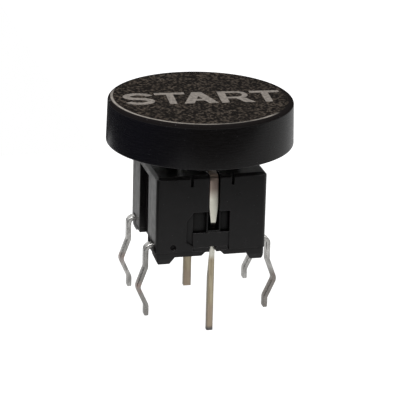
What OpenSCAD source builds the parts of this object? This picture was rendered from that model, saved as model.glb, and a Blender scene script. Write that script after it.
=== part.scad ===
// Lit tactile push button switch for a circuit board, with a round cap.
// All sizes are in millimetres. z = 0 is the face of the board, +Z is the way the cap rises, and
// the origin is on the axis of the cap. The front of the housing, with the long pin, faces -Y.
// The cap clips on a plunger that straddles the lamp and presses a snap dome on two contacts.

/* [Housing] */
// Width of the housing, left to right
body_w = 10; // [9.8:0.1:11]
// Depth of the housing, front to rear
body_d = 10; // [9.8:0.1:11]
// Height of the housing's top above the board
body_top = 8.2; // [7.9:0.1:9]
// Thickness of the left and right walls
side_wall = 1.1; // [1:0.05:1.2]
// Thickness of the front and rear walls
front_wall = 0.9; // [0.85:0.05:1]
// Thickness of the roof that carries the lamp
roof_t = 1; // [0.9:0.05:1.2]
// Radius of the housing's upright corners
corner_r = 0.4; // [0.1:0.05:0.6]
// Width of the bevel round the roof
roof_bevel = 0.25; // [0.1:0.05:0.4]
// Width of the moulded channel in each side wall
channel_w = 3.5; // [2.5:0.1:4.2]
// Depth of that channel
channel_deep = 0.65; // [0.4:0.05:0.75]
// Height of solid wall above the channel
channel_roof = 0.8; // [0.5:0.1:1.5]
// Width of the moulded nicks beside the lead slot
nick_w = 0.26; // [0.15:0.01:0.4]
// Distance of each nick from the middle
nick_x = 1.85; // [1.2:0.05:2.2]
// Height of the nicks, down from the roof's face
nick_h = 0.95; // [0.5:0.05:1.5]
// Depth of the nicks in the wall
nick_deep = 0.3; // [0.1:0.05:0.5]

/* [Snap windows] */
// Width of the window in the front and rear walls
window_w = 3.3; // [3:0.1:3.8]
// Height of the open window
window_h = 2; // [1.6:0.1:2.4]
// Height of the bar below the window
bar_h = 1.33; // [1:0.01:1.6]
// Thickness of that bar
bar_t = 0.3; // [0.2:0.01:0.35]
// How far the bar's face lies behind the wall's face
bar_inset = 0.1; // [0.05:0.01:0.2]
// Height of the bar's lower edge above the parting line
bar_rise = 0.36; // [0.25:0.01:0.5]

// Width of the shallow relief beside the window
relief_w = 0.62; // [0.3:0.01:0.8]
// Depth of that relief
relief_deep = 0.22; // [0.1:0.01:0.23]
// Height of the relief's lower slope
relief_low_h = 0.45; // [0.2:0.05:0.6]
// Height of the relief's upper slope
relief_high_h = 0.85; // [0.4:0.05:1]

/* [Lead slots] */
// Distance of the lamp and its leads from the middle, to the right
lamp_x = 0.2; // [0:0.01:0.22]
// Width of the slot that holds a lamp lead
slot_w = 1; // [0.9:0.05:1.2]
// Depth of the slot in the wall
slot_deep = 0.65; // [0.6:0.01:0.75]
// Thickness of the rim round the slot's lower end
rim_t = 0.14; // [0.1:0.01:0.2]
// Width of the notch under the base where a pin comes out
pin_notch_w = 1.4; // [1:0.1:2]
// Depth of that notch
pin_notch_h = 0.32; // [0.2:0.01:0.4]

/* [Base] */
// Height of the base's underside above the board
under_z = 0.7; // [0.6:0.05:0.9]
// Thickness of the base's rim, up to the parting line
plate_t = 0.44; // [0.4:0.01:0.5]
// Height of the base's block above the parting line
block_h = 1.46; // [1.3:0.02:1.6]
// Height of the contacts' face above the parting line
seat_rise = 0.61; // [0.55:0.01:0.7]
// Depth of each tongue, front to rear
tongue_t = 0.93; // [0.85:0.01:1.1]
// How far the base's rim lies inside the housing's outline
base_inset = 0.06; // [0.03:0.01:0.1]
// Width of a foot at the board, left to right
foot_w = 1; // [0.8:0.05:1.3]
// How far a foot's outer sides lean in at the board
foot_taper = 0.28; // [0.1:0.02:0.4]
// How far a foot's inner side leans out at the top
foot_flare = 0.45; // [0.2:0.05:0.7]
// Length of a foot's flat, front to rear
foot_flat = 0.5; // [0.4:0.05:0.8]
// Length of a foot's slope behind the flat
foot_slope = 1.1; // [0.6:0.1:1.6]
// Radius of a foot's lower edges
foot_r = 0.15; // [0.05:0.01:0.2]
// Radius of the dimple low on the front wall
dimple_r = 0.27; // [0.15:0.01:0.4]
// Distance of the dimple from the middle
dimple_x = 3.45; // [2.8:0.05:3.8]
// Height of the dimple above the parting line
dimple_rise = 0.5; // [0.4:0.05:1]
// Depth of the dimple
dimple_deep = 0.2; // [0.1:0.05:0.3]

/* [Contacts and terminals] */
// Thickness of the contact sheet
strip_t = 0.4; // [0.3:0.01:0.42]
// Width of a terminal leg
leg_w = 0.8; // [0.6:0.05:0.9]
// Distance of each leg's middle from the housing's front or rear face
leg_inset = 1.45; // [1.3:0.05:1.6]
// How far the straight part of a leg stands outside the housing
leg_out = 0.6; // [0.45:0.01:0.8]
// Where the kink starts, counted from the board
kink_start_z = -0.5; // [-0.8:0.05:-0.3]
// How far the kink's knee stands outside the housing
knee_out = 1.3; // [1:0.01:1.6]
// Height of the knee, counted from the board
knee_z = -2.4; // [-2.7:0.05:-2]
// How far the kink's foot stands outside the housing
ankle_out = 0.5; // [0.2:0.01:0.8]
// Height of the kink's foot, counted from the board
ankle_z = -4.15; // [-4.5:0.05:-3.8]
// Height of a leg's tip, counted from the board
leg_tip_z = -5.15; // [-5.6:0.05:-4.9]
// Radius of the bend where a leg leaves the housing, at the middle of the sheet
exit_r = 0.5; // [0.35:0.01:0.55]
// Radius of the bends in a kink, at the middle of the sheet
kink_r = 0.7; // [0.4:0.05:0.9]
// Radius of the corners at a leg's tip
tip_r = 0.25; // [0.1:0.01:0.35]
// Width of the arm under the dome's middle
arm_w = 1.2; // [0.8:0.1:1.6]
// Width of each arm under the dome's edge
rail_w = 0.7; // [0.5:0.05:0.9]
// Height of the raised contact point
point_h = 0.1; // [0.05:0.01:0.15]

/* [Snap dome] */
// Radius of the dome
dome_r = 2.5; // [2.3:0.05:2.7]
// Rise of the dome
dome_h = 0.5; // [0.45:0.01:0.55]
// Thickness of the dome's sheet
dome_t = 0.07; // [0.05:0.01:0.1]

/* [Plunger] */
// How far the cap travels
travel = 0.3; // [0.2:0.05:0.4]
// Distance of each arm's inner face from the middle
arm_x = 2.3; // [2.25:0.01:2.35]
// Room between an arm and the side wall
arm_room = 0.5; // [0.4:0.05:0.7]
// Width of an arm, front to rear
arm_d = 3; // [2.4:0.1:3.4]
// Width of the stop shoulder below the roof
shoulder_d = 4.8; // [4.2:0.1:5.4]
// Height of the stop shoulder
shoulder_h = 0.8; // [0.5:0.1:1.2]
// Height of the crossbar
crossbar_h = 1.2; // [0.9:0.1:1.5]
// Width of the crossbar, front to rear
crossbar_d = 2.6; // [2:0.1:3]
// Radius of the nub that presses the dome
nub_r = 0.9; // [0.6:0.05:1.2]
// How far the barb stands out of an arm
barb_out = 0.12; // [0.08:0.01:0.16]
// Height of the barb
barb_h = 0.5; // [0.4:0.05:0.6]
// Width of the barb, front to rear
barb_d = 1; // [0.6:0.1:1.4]

/* [Cap] */
// Radius of the cap at its top
cap_r = 8.28; // [7.8:0.01:9]
// How much wider the cap is at its lower edge
cap_draft = 0.11; // [0:0.01:0.2]
// Height of the cap
cap_h = 3.95; // [3.8:0.05:4.4]
// Open height between the housing and the cap
cap_gap = 1.65; // [1.4:0.05:2]
// Thickness of the cap's side wall
cap_wall = 1; // [0.8:0.05:1.3]
// Thickness of the cap's top
cap_top_t = 0.9; // [0.7:0.05:1]
// Radius of the cap's upper edge
cap_edge_r = 0.3; // [0.15:0.05:0.6]
// Radius of the cap's lower edges
cap_lip_r = 0.12; // [0.05:0.01:0.2]
// Thickness of the light plate inside the cap
plate_light_t = 0.7; // [0.5:0.05:0.8]
// Wall of the sockets that hold the plunger's arms
socket_wall = 0.5; // [0.4:0.05:0.6]
// How far the sockets stay inside the cap's lower edge
socket_inset = 0.3; // [0.1:0.05:0.6]
// How far the beads that hold the light plate stand out
bead_out = 0.22; // [0.15:0.01:0.3]
// Height of those beads
bead_h = 0.3; // [0.2:0.02:0.4]
// Length of each bead, as an angle
bead_angle = 24; // [15:1:40]

/* [Lamp] */
// Radius of the lamp's lens
lens_r = 1.45; // [1.4:0.01:1.48]
// Height of the lens
lens_h = 3.4; // [3.2:0.05:3.5]
// Radius of the lens's flange
flange_r = 1.75; // [1.65:0.01:1.85]
// Height of the flange
flange_h = 0.5; // [0.3:0.05:0.8]
// Distance of the flange's flat from the middle, on the short pin's side
flat_y = 1.52; // [1.5:0.01:1.6]
// Radius of the bends in a lead, at its middle
lead_r = 0.32; // [0.25:0.01:0.4]
// Distance between the two leads inside the lens
lead_pitch = 2.2; // [2:0.05:2.3]
// Thickness of a lead
lead_t = 0.45; // [0.4:0.01:0.5]
// Width of the long front pin
pin_w = 0.55; // [0.45:0.01:0.6]
// Width of the short rear pin
short_pin_w = 0.7; // [0.5:0.01:0.75]
// Width of the broad stretch of a lead
shank_w = 0.77; // [0.65:0.01:0.85]
// Height where the broad stretch ends and tapers to the neck
shank_z = 5.2; // [4.8:0.05:5.6]
// Width of the neck below the taper
neck_w = 0.44; // [0.35:0.01:0.5]
// Height of the neck, where the lead turns in behind the bar
neck_z = 3.75; // [3.65:0.01:3.9]
// Height over which the neck widens to the pin
neck_h = 0.9; // [0.7:0.05:1.2]
// Height where the lead's jog to the pin ends
jog_z = 3.25; // [3.1:0.05:3.4]
// Height of the long pin's tip, counted from the board
long_pin_z = -6.7; // [-7.5:0.1:-6.2]
// Height of the short pin's tip, counted from the board
short_pin_z = -5.8; // [-6.1:0.1:-5]
// Radius of the reflector cup
cup_r = 0.55; // [0.5:0.01:0.6]
// Depth of the reflector cup
cup_h = 0.35; // [0.3:0.01:0.4]
// Width of the light chip
chip_w = 0.3; // [0.2:0.01:0.35]
// Height of the light chip
chip_h = 0.12; // [0.08:0.01:0.15]
// Radius of the bond wire
wire_r = 0.02; // [0.015:0.005:0.03]

/* [Fits] */
// Gap round pieces that slide
slide_gap = 0.1; // [0.06:0.01:0.12]
// Gap between pieces that are fitted together
fit_gap = 0.03; // [0.02:0.005:0.05]

/* [Hidden] */
$fn = 72;
eps = 0.01;
far = 30;

black = [0.13, 0.13, 0.14];
cap_black = [0.11, 0.11, 0.12];
milky = [0.92, 0.92, 0.88];
tin = [0.78, 0.78, 0.76];
steel = [0.7, 0.7, 0.72];
clear = [0.8, 0.88, 0.9];
gold = [0.85, 0.66, 0.25];

// Heights
part_z = under_z + plate_t;
block_top = part_z + block_h;
seat_z = part_z + seat_rise;
bar_z = part_z + bar_rise;
window_z = bar_z + bar_h;
window_top = window_z + window_h;
roof_z = body_top - roof_t;
channel_top = body_top - channel_roof;
dome_top = seat_z + dome_h + dome_t;
crossbar_z = block_top + travel + 0.2;
shoulder_top = roof_z - fit_gap;
cap_bottom = body_top + cap_gap;
cap_top = cap_bottom + cap_h;
light_top = cap_top - cap_top_t;
light_z = light_top - plate_light_t;
socket_z = cap_bottom + socket_inset;
arm_top = light_z - fit_gap;
barb_z = (socket_z + light_z) / 2 - barb_h / 2;

// Distances from the middle
half_w = body_w / 2;
half_d = body_d / 2;
room_x = half_w - side_wall;
room_y = half_d - front_wall;
bar_face_y = half_d - bar_inset;
bar_back_y = bar_face_y - bar_t;
tongue_face_y = bar_back_y - fit_gap;
tongue_back_y = tongue_face_y - tongue_t;
pin_y = tongue_face_y - fit_gap - lead_t / 2;
shank_y = half_d - slot_deep + fit_gap + lead_t / 2;
tongue_half_w = window_w / 2 - fit_gap;
leg_y = half_d - leg_inset;
arm_out_x = room_x - arm_room;
light_r = cap_r - cap_wall - fit_gap;
groove_z = body_top - lead_t - 2 * fit_gap;
lead_run_z = groove_z + fit_gap + lead_t / 2;

// Outlines of bent sheet
function heading(a, b) = (b - a) / norm(b - a);
function to_left(d) = [-d[1], d[0]];
function turned(v, a) = [v[0] * cos(a) - v[1] * sin(a), v[0] * sin(a) + v[1] * cos(a)];
function bend_angle(d, e) = atan2(d[0] * e[1] - d[1] * e[0], d * e);
function flipped(list) = [for (i = [len(list) - 1:-1:0]) list[i]];

// One bend of a side line, for a centre line that turns at q with radius r
function bend(p, q, n, r, side) =
    let (
        d = heading(p, q),
        a = bend_angle(d, heading(q, n)),
        way = sign(a),
        centre = q - d * r * tan(abs(a) / 2) + to_left(d) * way * r,
        arm = -to_left(d) * (way * r - side),
        steps = max(2, ceil(abs(a) / 12))
    )
    [for (i = [0:steps]) centre + turned(arm, a * i / steps)];

// The line that lies "side" to the left of a path, with a radius for each corner of the path
function side_line(path, radii, side) =
    let (last = len(path) - 1)
    concat(
        [path[0] + to_left(heading(path[0], path[1])) * side],
        [for (i = [1:last - 1]) each bend(path[i - 1], path[i], path[i + 1], radii[i - 1], side)],
        [path[last] + to_left(heading(path[last - 1], path[last])) * side]
    );

module bent_sheet(path, radii, t) {
    polygon(concat(side_line(path, radii, t / 2), flipped(side_line(path, radii, -t / 2))));
}

// A quarter or other arc of points, for turned profiles
function arc_points(centre, r, from, to, steps) =
    [for (i = [0:steps]) centre + r * [cos(from + (to - from) * i / steps), sin(from + (to - from) * i / steps)]];

// Helpers that place flat shapes upright
module along_x(length) {
    rotate([90, 0, 90]) linear_extrude(length, center = true) children();
}

module along_y(length) {
    rotate([90, 0, 0]) linear_extrude(length, center = true) children();
}

module box(x0, x1, y0, y1, z0, z1) {
    translate([x0, y0, z0]) cube([x1 - x0, y1 - y0, z1 - z0]);
}

module rounded_rectangle(w, d, r) {
    square([w, d - 2 * r], center = true);
    square([w - 2 * r, d], center = true);
    for (x = [-1, 1], y = [-1, 1]) translate([x * (w / 2 - r), y * (d / 2 - r)]) circle(r);
}

// Draws its children at the front and, turned round, at the rear. $line_x is where the lamp's line
// lies for the side being drawn, because the turn would otherwise carry it to the other side
module front_and_rear() {
    for (turn = [0, 180]) {
        $line_x = turn == 0 ? lamp_x : -lamp_x;
        rotate(turn) children();
    }
}

// Draws its children at the four corners
module four_corners() {
    for (x = [0, 1], y = [0, 1]) mirror([x, 0, 0]) mirror([0, y, 0]) children();
}

// Housing cover
module bevelled_side(half_span) {
    polygon([
        [-half_span, part_z], [half_span, part_z], [half_span, body_top - roof_bevel],
        [half_span - roof_bevel, body_top], [roof_bevel - half_span, body_top],
        [-half_span, body_top - roof_bevel]
    ]);
}

module cover_block() {
    intersection() {
        translate([0, 0, part_z]) linear_extrude(body_top - part_z) rounded_rectangle(body_w, body_d, corner_r);
        along_y(far) bevelled_side(half_w);
        along_x(far) bevelled_side(half_d);
    }
}

module side_channels() {
    for (side = [0, 1]) mirror([side, 0, 0])
        box(half_w - channel_deep, far, -channel_w / 2, channel_w / 2, part_z - eps, channel_top);
}

module arm_windows() {
    for (side = [0, 1]) mirror([side, 0, 0])
        box(arm_x - slide_gap, arm_out_x + slide_gap, -arm_d / 2 - slide_gap, arm_d / 2 + slide_gap, roof_z - eps, far);
}

module snap_window() {
    half = window_w / 2;
    box(-half, half, -far, -room_y + eps, window_z, window_top);
    box(-half, half, -far, -bar_face_y, part_z - eps, window_z + eps);
    box(-half, half, -bar_back_y, -room_y + eps, part_z - eps, window_z + eps);
    box(-half, half, -far, -room_y + eps, part_z - eps, bar_z);
}

module window_relief() {
    half = window_w / 2;
    low = bar_z + bar_inset;
    translate([0, -half_d, 0]) along_y(2 * relief_deep) polygon([
        [eps - half, low], [-half - relief_w, low + relief_low_h],
        [-half - relief_w, window_top - relief_high_h], [eps - half, window_top]
    ]);
}

module lead_slot() {
    translate([$line_x, 0, 0]) {
        box(-slot_w / 2, slot_w / 2, -far, slot_deep - half_d, window_top - eps, far);
        box(-slot_w / 2, slot_w / 2, -far, -lead_pitch / 2 + lead_t, groove_z, far);
    }
}

module wall_nicks() {
    for (side = [-1, 1])
        box(side * nick_x - nick_w / 2, side * nick_x + nick_w / 2, -far, nick_deep - half_d, body_top - nick_h, far);
}

module terminal_doors() {
    four_corners()
        box(room_x - eps, far, leg_y - leg_w / 2 - slide_gap, leg_y + leg_w / 2 + slide_gap, part_z - eps, seat_z + slide_gap);
}

module cover() {
    color(black) difference() {
        cover_block();
        box(-room_x, room_x, -room_y, room_y, part_z - eps, roof_z);
        side_channels();
        arm_windows();
        front_and_rear() {
            snap_window();
            window_relief();
            lead_slot();
            wall_nicks();
        }
        terminal_doors();
        translate([-dimple_x, dimple_deep - half_d, part_z + dimple_rise]) rotate([90, 0, 0]) cylinder(h = far, r = dimple_r);
    }
}

// Base with its feet, tongues and moulded-in contacts
module base_outline() {
    rounded_rectangle(body_w - 2 * base_inset, body_d - 2 * base_inset, corner_r);
}

module foot() {
    foot_x = half_w - foot_taper;
    foot_y = half_d - foot_taper;
    intersection() {
        linear_extrude(part_z) base_outline();
        along_y(far) polygon(side_line([
            [half_w, under_z + eps], [foot_x, 0], [foot_x - foot_w, 0], [foot_x - foot_w - foot_flare, under_z + eps]
        ], [foot_r, foot_r], 0));
        along_x(far) polygon(side_line([
            [half_d, under_z + eps], [foot_y, 0], [foot_y - foot_flat, 0],
            [foot_y - foot_flat - foot_slope, under_z + eps]
        ], [foot_r, foot_r], 0));
    }
}

module tongue() {
    lip_top = bar_z - fit_gap;
    tongue_top = window_top - slide_gap;
    rim_half = slot_w / 2 + rim_t;
    rim_z = window_z + fit_gap;
    box(-tongue_half_w, tongue_half_w, -tongue_face_y, -tongue_back_y, part_z - eps, tongue_top);
    box(-tongue_half_w, tongue_half_w, -bar_face_y, -tongue_back_y, part_z - eps, lip_top);
    translate([$line_x, 0, 0]) difference() {
        box(-rim_half, rim_half, -bar_face_y, -tongue_back_y, rim_z, tongue_top);
        box(-slot_w / 2, slot_w / 2, -far, -tongue_back_y, rim_z + rim_t, far);
    }
}

module lead_groove(width) {
    groove_floor = pin_y - lead_t / 2 - fit_gap;
    pin_room = width / 2 + fit_gap;
    box(-slot_w / 2, slot_w / 2, -tongue_face_y - eps, -groove_floor, bar_z, far);
    box(-pin_room, pin_room, -tongue_face_y - eps, -groove_floor, -eps, bar_z + eps);
    box(-pin_room, pin_room, -far, -groove_floor, -eps, bar_z - fit_gap + eps);
}

module pin_notch() {
    half = pin_notch_w / 2;
    notch_depth = half_d - tongue_back_y;
    translate([$line_x, -half_d + notch_depth / 2, 0]) along_y(notch_depth + 2 * eps) polygon([
        [-half - pin_notch_h, under_z], [-half - pin_notch_h, under_z - 1], [half + pin_notch_h, under_z - 1],
        [half + pin_notch_h, under_z], [half, under_z + pin_notch_h], [-half, under_z + pin_notch_h]
    ]);
}

module terminal_sills() {
    half = leg_w / 2 + slide_gap - fit_gap;
    four_corners() box(room_x - 2 * fit_gap, half_w - base_inset, leg_y - half, leg_y + half, part_z - eps, seat_z - strip_t + eps);
}

module base() {
    block_x = room_x - fit_gap;
    block_y = room_y - fit_gap;
    color(black) difference() {
        union() {
            translate([0, 0, under_z]) linear_extrude(plate_t) base_outline();
            box(-block_x, block_x, -block_y, block_y, part_z - eps, block_top);
            front_and_rear() tongue();
            terminal_sills();
            four_corners() foot();
        }
        translate([0, 0, seat_z]) cylinder(h = far, r = dome_r + slide_gap);
        translate([lamp_x, 0, 0]) {
            lead_groove(pin_w);
            rotate(180) lead_groove(short_pin_w);
        }
        front_and_rear() pin_notch();
        front_contact_solid();
        rear_contact_solid();
    }
}

// Contacts: each is one strip from leg to leg, with arms under the dome
leg_path = [
    [0, seat_z - strip_t / 2],
    [half_w + leg_out, seat_z - strip_t / 2],
    [half_w + leg_out, kink_start_z],
    [half_w + knee_out, knee_z],
    [half_w + ankle_out, ankle_z],
    [half_w + ankle_out, leg_tip_z]
];
leg_radii = [exit_r, kink_r, kink_r, kink_r];

module leg_pair(y) {
    leg_height = seat_z + strip_t - leg_tip_z;
    translate([0, y, 0]) intersection() {
        for (side = [0, 1]) mirror([side, 0, 0]) along_y(leg_w) bent_sheet(leg_path, leg_radii, strip_t);
        along_x(far) translate([0, leg_tip_z + leg_height / 2]) rounded_rectangle(leg_w, leg_height, tip_r);
    }
}

module front_contact_solid() {
    leg_pair(-leg_y);
    translate([0, 0, seat_z - strip_t]) linear_extrude(strip_t) {
        translate([-arm_w / 2, -leg_y]) square([arm_w, leg_y]);
        circle(arm_w / 2);
    }
    contact_point();
}

module contact_point() {
    point_r = arm_w / 4;
    ball_r = (point_r * point_r + point_h * point_h) / (2 * point_h);
    intersection() {
        translate([0, 0, seat_z + point_h - ball_r]) sphere(ball_r);
        translate([0, 0, seat_z - eps]) cylinder(h = 2 * point_h, r = point_r);
    }
}

module rear_contact_solid() {
    rail_x = sqrt(dome_r * dome_r - rail_w * rail_w) - rail_w / 4;
    leg_pair(leg_y);
    for (side = [-1, 1])
        box(side * rail_x - rail_w / 2, side * rail_x + rail_w / 2, -2 * rail_w, leg_y, seat_z - strip_t, seat_z);
}

module front_contact() {
    color(tin) front_contact_solid();
}

module rear_contact() {
    color(tin) rear_contact_solid();
}

// Snap dome
module snap_dome() {
    ball_r = (dome_r * dome_r + dome_h * dome_h) / (2 * dome_h);
    color(steel) intersection() {
        translate([0, 0, seat_z + dome_h - ball_r]) difference() {
            sphere(ball_r + dome_t);
            sphere(ball_r);
        }
        translate([0, 0, seat_z]) cylinder(h = 2 * dome_h, r = dome_r);
    }
}

// Plunger
module plunger() {
    color(black) {
        nub_z = dome_top + fit_gap;
        translate([0, 0, nub_z]) cylinder(h = crossbar_z - nub_z + eps, r = nub_r);
        box(-arm_out_x, arm_out_x, -crossbar_d / 2, crossbar_d / 2, crossbar_z, crossbar_z + crossbar_h);
        for (side = [0, 1]) mirror([side, 0, 0]) plunger_arm();
    }
}

module plunger_arm() {
    box(arm_x, arm_out_x, -arm_d / 2, arm_d / 2, crossbar_z, arm_top);
    box(arm_x, arm_out_x, -shoulder_d / 2, shoulder_d / 2, shoulder_top - shoulder_h, shoulder_top);
    along_y(barb_d) polygon([
        [arm_out_x - eps, barb_z], [arm_out_x + barb_out, barb_z + fit_gap],
        [arm_out_x + barb_out, barb_z + barb_h / 3], [arm_out_x - eps, barb_z + barb_h]
    ]);
}

// Cap
module cap_profile() {
    inner_r = cap_r - cap_wall;
    low_r = cap_r + cap_draft;
    polygon(concat(
        [[0, light_top], [inner_r, light_top], [inner_r, cap_bottom + cap_lip_r]],
        [[inner_r + cap_lip_r, cap_bottom], [low_r - cap_lip_r, cap_bottom], [low_r, cap_bottom + cap_lip_r]],
        arc_points([cap_r - cap_edge_r, cap_top - cap_edge_r], cap_edge_r, 0, 90, 6),
        [[0, cap_top]]
    ));
}

module cap_bead() {
    inner_r = cap_r - cap_wall;
    rotate(-bead_angle / 2) rotate_extrude(angle = bead_angle) polygon([
        [inner_r + eps, light_z - fit_gap], [inner_r - bead_out, light_z - fit_gap - bead_h / 3],
        [inner_r + eps, light_z - fit_gap - bead_h]
    ]);
}

module keycap() {
    color(cap_black) {
        rotate_extrude() cap_profile();
        for (i = [0:3]) rotate(45 + 90 * i) cap_bead();
    }
}

// Light plate, with the sockets for the plunger's arms
module socket_block(grow) {
    for (side = [0, 1]) mirror([side, 0, 0]) box(
        arm_x - fit_gap - grow, arm_out_x + fit_gap + grow, -arm_d / 2 - fit_gap - grow, arm_d / 2 + fit_gap + grow,
        socket_z - (grow > 0 ? 0 : eps), light_z + (grow > 0 ? eps : 0)
    );
}

module barb_windows() {
    for (side = [0, 1]) mirror([side, 0, 0])
        box(arm_out_x, far, -barb_d / 2 - fit_gap, barb_d / 2 + fit_gap, barb_z - fit_gap, barb_z + barb_h + fit_gap);
}

module light_plate() {
    color(milky) {
        translate([0, 0, light_z]) cylinder(h = plate_light_t, r = light_r);
        difference() {
            socket_block(socket_wall);
            socket_block(0);
            barb_windows();
        }
    }
}

// Lamp
lens_z = body_top;
cup_top_z = lens_z + lens_h - lens_r;
post_y = lead_pitch / 2;

function lead_path(tip_z) = [
    [-post_y, cup_top_z - cup_h / 2], [-post_y, lead_run_z], [-shank_y, lead_run_z],
    [-shank_y, neck_z], [-pin_y, jog_z], [-pin_y, tip_z]
];

module lead_front_view(tip_z, width) {
    polygon([
        [-width / 2, tip_z], [width / 2, tip_z], [width / 2, neck_z - neck_h], [neck_w / 2, neck_z],
        [shank_w / 2, shank_z], [shank_w / 2, lens_z - eps], [pin_w / 2, lens_z - eps], [pin_w / 2, cup_top_z],
        [-pin_w / 2, cup_top_z], [-pin_w / 2, lens_z - eps], [-shank_w / 2, lens_z - eps], [-shank_w / 2, shank_z],
        [-neck_w / 2, neck_z], [-width / 2, neck_z - neck_h]
    ]);
}

module lead_solid(tip_z, width) {
    path = lead_path(tip_z);
    intersection() {
        along_x(shank_w) bent_sheet(path, [for (point = path) lead_r], lead_t);
        along_y(far) lead_front_view(tip_z, width);
    }
}

module anode_solid() {
    lead_solid(long_pin_z, pin_w);
    box(-pin_w / 2, pin_w / 2, -post_y - lead_t / 2, -cup_r - 4 * fit_gap, cup_top_z - cup_h, cup_top_z);
}

module cathode_solid() {
    rotate(180) lead_solid(short_pin_z, short_pin_w);
    difference() {
        union() {
            translate([0, 0, cup_top_z - cup_h]) cylinder(h = cup_h, r = cup_r);
            box(-pin_w / 2, pin_w / 2, 0, post_y + lead_t / 2, cup_top_z - cup_h, cup_top_z);
        }
        translate([0, 0, cup_top_z - cup_h / 2]) cylinder(h = cup_h / 2 + eps, r1 = cup_r / 2, r2 = cup_r * 0.85);
    }
}

module chip_solid() {
    translate([-chip_w / 2, -chip_w / 2, cup_top_z - cup_h / 2]) cube([chip_w, chip_w, chip_h]);
}

module wire_solid() {
    chip_top = cup_top_z - cup_h / 2 + chip_h;
    post_top = cup_top_z;
    loop_top = cup_top_z + cup_h;
    land_y = (post_y + cup_r) / 2;
    translate([0, 0, chip_top]) cylinder(h = loop_top - chip_top, r = wire_r);
    translate([0, 0, loop_top]) rotate([90, 0, 0]) cylinder(h = land_y, r = wire_r);
    translate([0, -land_y, post_top]) cylinder(h = loop_top - post_top, r = wire_r);
    for (y = [0, -land_y]) translate([0, y, loop_top]) sphere(wire_r);
}

module anode_lead() {
    color(tin) translate([lamp_x, 0, 0]) anode_solid();
}

module cathode_lead() {
    color(tin) translate([lamp_x, 0, 0]) cathode_solid();
}

module light_chip() {
    color(gold) translate([lamp_x, 0, 0]) chip_solid();
}

module bond_wire() {
    color(gold) translate([lamp_x, 0, 0]) wire_solid();
}

module lamp_lens() {
    color(clear) translate([lamp_x, 0, 0]) difference() {
        union() {
            translate([0, 0, lens_z]) cylinder(h = lens_h - lens_r, r = lens_r);
            difference() {
                translate([0, 0, lens_z]) cylinder(h = flange_h, r = flange_r);
                box(-far, far, flat_y, far, 0, far);
            }
            intersection() {
                translate([0, 0, cup_top_z]) sphere(lens_r);
                translate([0, 0, cup_top_z]) cylinder(h = far, r = far);
            }
        }
        anode_solid();
        cathode_solid();
        chip_solid();
        wire_solid();
    }
}

keycap();
light_plate();
plunger();
cover();
base();
front_contact();
rear_contact();
snap_dome();
lamp_lens();
anode_lead();
cathode_lead();
light_chip();
bond_wire();
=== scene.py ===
# Looks of the lit push button switch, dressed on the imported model. Lengths are written in millimetres.
import math

import bmesh
import bpy
from mathutils import Matrix, Vector
from mathutils.geometry import tessellate_polygon


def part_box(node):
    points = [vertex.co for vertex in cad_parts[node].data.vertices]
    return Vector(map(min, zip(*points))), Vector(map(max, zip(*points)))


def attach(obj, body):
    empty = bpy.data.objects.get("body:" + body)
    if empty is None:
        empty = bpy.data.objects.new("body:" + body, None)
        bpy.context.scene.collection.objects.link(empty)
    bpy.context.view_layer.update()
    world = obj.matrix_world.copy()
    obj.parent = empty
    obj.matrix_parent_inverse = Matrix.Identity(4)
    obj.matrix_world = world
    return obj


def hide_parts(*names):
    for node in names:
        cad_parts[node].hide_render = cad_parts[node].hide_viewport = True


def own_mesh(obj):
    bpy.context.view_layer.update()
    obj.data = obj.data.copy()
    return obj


MM = 0.001
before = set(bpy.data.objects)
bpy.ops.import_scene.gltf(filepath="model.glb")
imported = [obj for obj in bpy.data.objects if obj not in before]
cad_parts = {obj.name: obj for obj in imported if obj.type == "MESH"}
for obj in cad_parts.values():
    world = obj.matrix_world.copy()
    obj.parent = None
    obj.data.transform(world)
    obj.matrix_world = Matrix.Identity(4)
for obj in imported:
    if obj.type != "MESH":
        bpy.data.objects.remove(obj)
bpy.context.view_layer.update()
scene = bpy.context.scene
scene.view_settings.view_transform = "Standard"

# Sizes that repeat the part's source, for the pieces that are made finer here
CAP_BOTTOM = 9.85
CAP_TOP = 13.8
CAP_R = 8.28
CAP_DRAFT = 0.11
CAP_EDGE_R = 0.3
CAP_LIP_R = 0.12
CAP_WALL = 1.0
CAP_TOP_T = 0.9
SHEET_T = 0.4
LEG_W = 0.8
LEG_Y = 3.55
SEAT_Z = 1.75
LEG_CORNERS = [(5.6, 1.55, 0.5), (5.6, -0.5, 0.7), (6.3, -2.4, 0.7), (5.5, -4.15, 0.7)]
LEG_START_X = 4.3
LEG_TIP_Z = -5.15
STRIP_CUT_X = 4.35
LEAD_X = 0.2
FRONT_PIN_HALF = 0.275
REAR_PIN_HALF = 0.35
PIN_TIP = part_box("anode_lead")[0][2] / MM

# The cap's finer form: its facets and what they fall short of a circle, the reach of its soft upper
# edge, the bare band inside it, and the depth of the top coat with the share that the legend is sunk
CAP_FACETS = 160
CAP_FACET_SAG = 0.006
EDGE_REACH = 0.42
TOP_BAND = 0.06
FILM_T = 0.03
FILM_GAP = 0.005
LEGEND_SUNK = 0.3

# The side channels, where they run through the base's rim: their inner face and the cutting box
CHANNEL_X = 4.35
CHANNEL_CUT = (5.0, 3.5, 10.0)

# The front pin's neck: the heights where its left side bends, where it ends, how much narrower it
# is there, and how near the left side a point is to count as on it
PIN_NECK = (-1.6, 0.2, 1.0)
PIN_NECK_TOP = 1.1
PIN_NECK_CUT = 0.17
PIN_SIDE_ZONE = 0.05

# The contacts' rounded edges, and the terminals' tips as (height over the tip, fullness) steps
STRIP_EDGE_R = 0.03
LEG_EDGE_R = 0.09
LEG_TIP_START = 0.2
LEG_TIP = ((0.13, 0.985), (0.07, 0.93), (0.03, 0.83), (0.0, 0.66))
CORNER_STEPS = 8

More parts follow.
